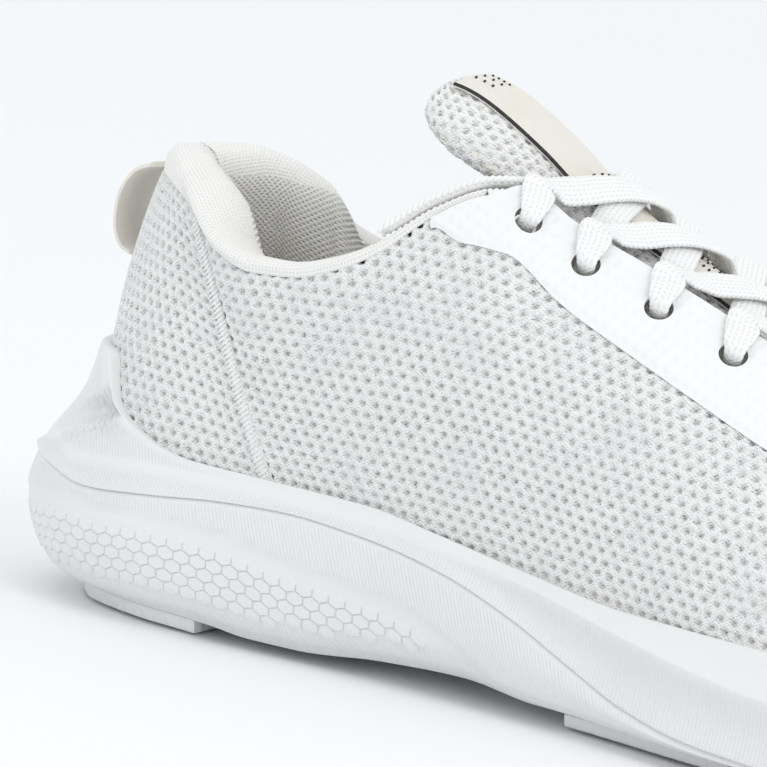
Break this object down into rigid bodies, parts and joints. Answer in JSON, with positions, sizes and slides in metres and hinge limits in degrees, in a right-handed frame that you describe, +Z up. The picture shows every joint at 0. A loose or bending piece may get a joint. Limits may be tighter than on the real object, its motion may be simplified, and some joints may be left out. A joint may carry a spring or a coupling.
{
  "type": "running shoe",
  "caption": "Low-cut laced running shoe for the right foot, with a knitted mesh upper, padded tongue and collar, and a deep two-part foam sole.",
  "frame": {"origin": "bottom centre of the bounding box, on the ground plane under the middle of the sole", "axes": "+X from the heel to the toe, +Y to the medial (inner) side of the foot, +Z up from the ground"},
  "size_m": [0.2964, 0.1002, 0.1188],
  "materials": {
    "midsole_foam": "moulded closed-cell foam, satin white",
    "outsole_rubber": "smooth white rubber",
    "board": "stitched board and stiffener",
    "padding_foam": "open-cell padding",
    "lining_knit": "fine warm off-white knit",
    "upper_mesh": "coarse air mesh, white",
    "fused_film": "fused film, satin white",
    "woven_tape": "cream twill tape",
    "lace": "flat woven lace, white",
    "aglet": "clear-white sheath"
  },
  "bodies": {
    "shoe": {"midsole_carrier": "midsole_foam", "midsole_core": "midsole_foam", "outsole_heel": "outsole_rubber", "outsole_forefoot_rear": "outsole_rubber", "outsole_forefoot_middle": "outsole_rubber", "outsole_forefoot_front": "outsole_rubber", "outsole_toe": "outsole_rubber", "strobel_board": "board", "heel_counter": "board", "toe_puff": "board", "eyestay_reinforcement": "board", "collar_foam": "padding_foam", "upper_lining": "lining_knit", "collar_lining": "lining_knit", "heel_panel": "upper_mesh", "vamp_quarter_mesh": "upper_mesh", "collar_binding_lateral": "upper_mesh", "collar_binding_medial": "upper_mesh", "heel_seam_tape_lateral": "fused_film", "heel_seam_tape_medial": "fused_film", "eyestay_overlay": "fused_film", "heel_pull_tab": "woven_tape", "shoelace": "lace", "lace_aglet_lateral": "aglet", "lace_aglet_medial": "aglet"},
    "tongue": {"tongue_outer": "upper_mesh", "tongue_foam": "padding_foam", "tongue_lining": "lining_knit", "tongue_label": "woven_tape"},
    "insole": {"insole_foam": "padding_foam", "insole_top_cloth": "lining_knit"}
  },
  "joints": [
    {"name": "tongue_press", "type": "hinge", "parent": "shoe", "child": "tongue", "pos_m": [0.05725, 0.00553, 0.05523], "axis": [0, -1, 0], "range_deg": [0, 5]},
    {"name": "insole_lift", "type": "hinge", "parent": "shoe", "child": "insole", "pos_m": [0.13525, 0.00103, 0.02023], "axis": [0, 1, 0], "range_deg": [0, 4.5]}
  ]
}
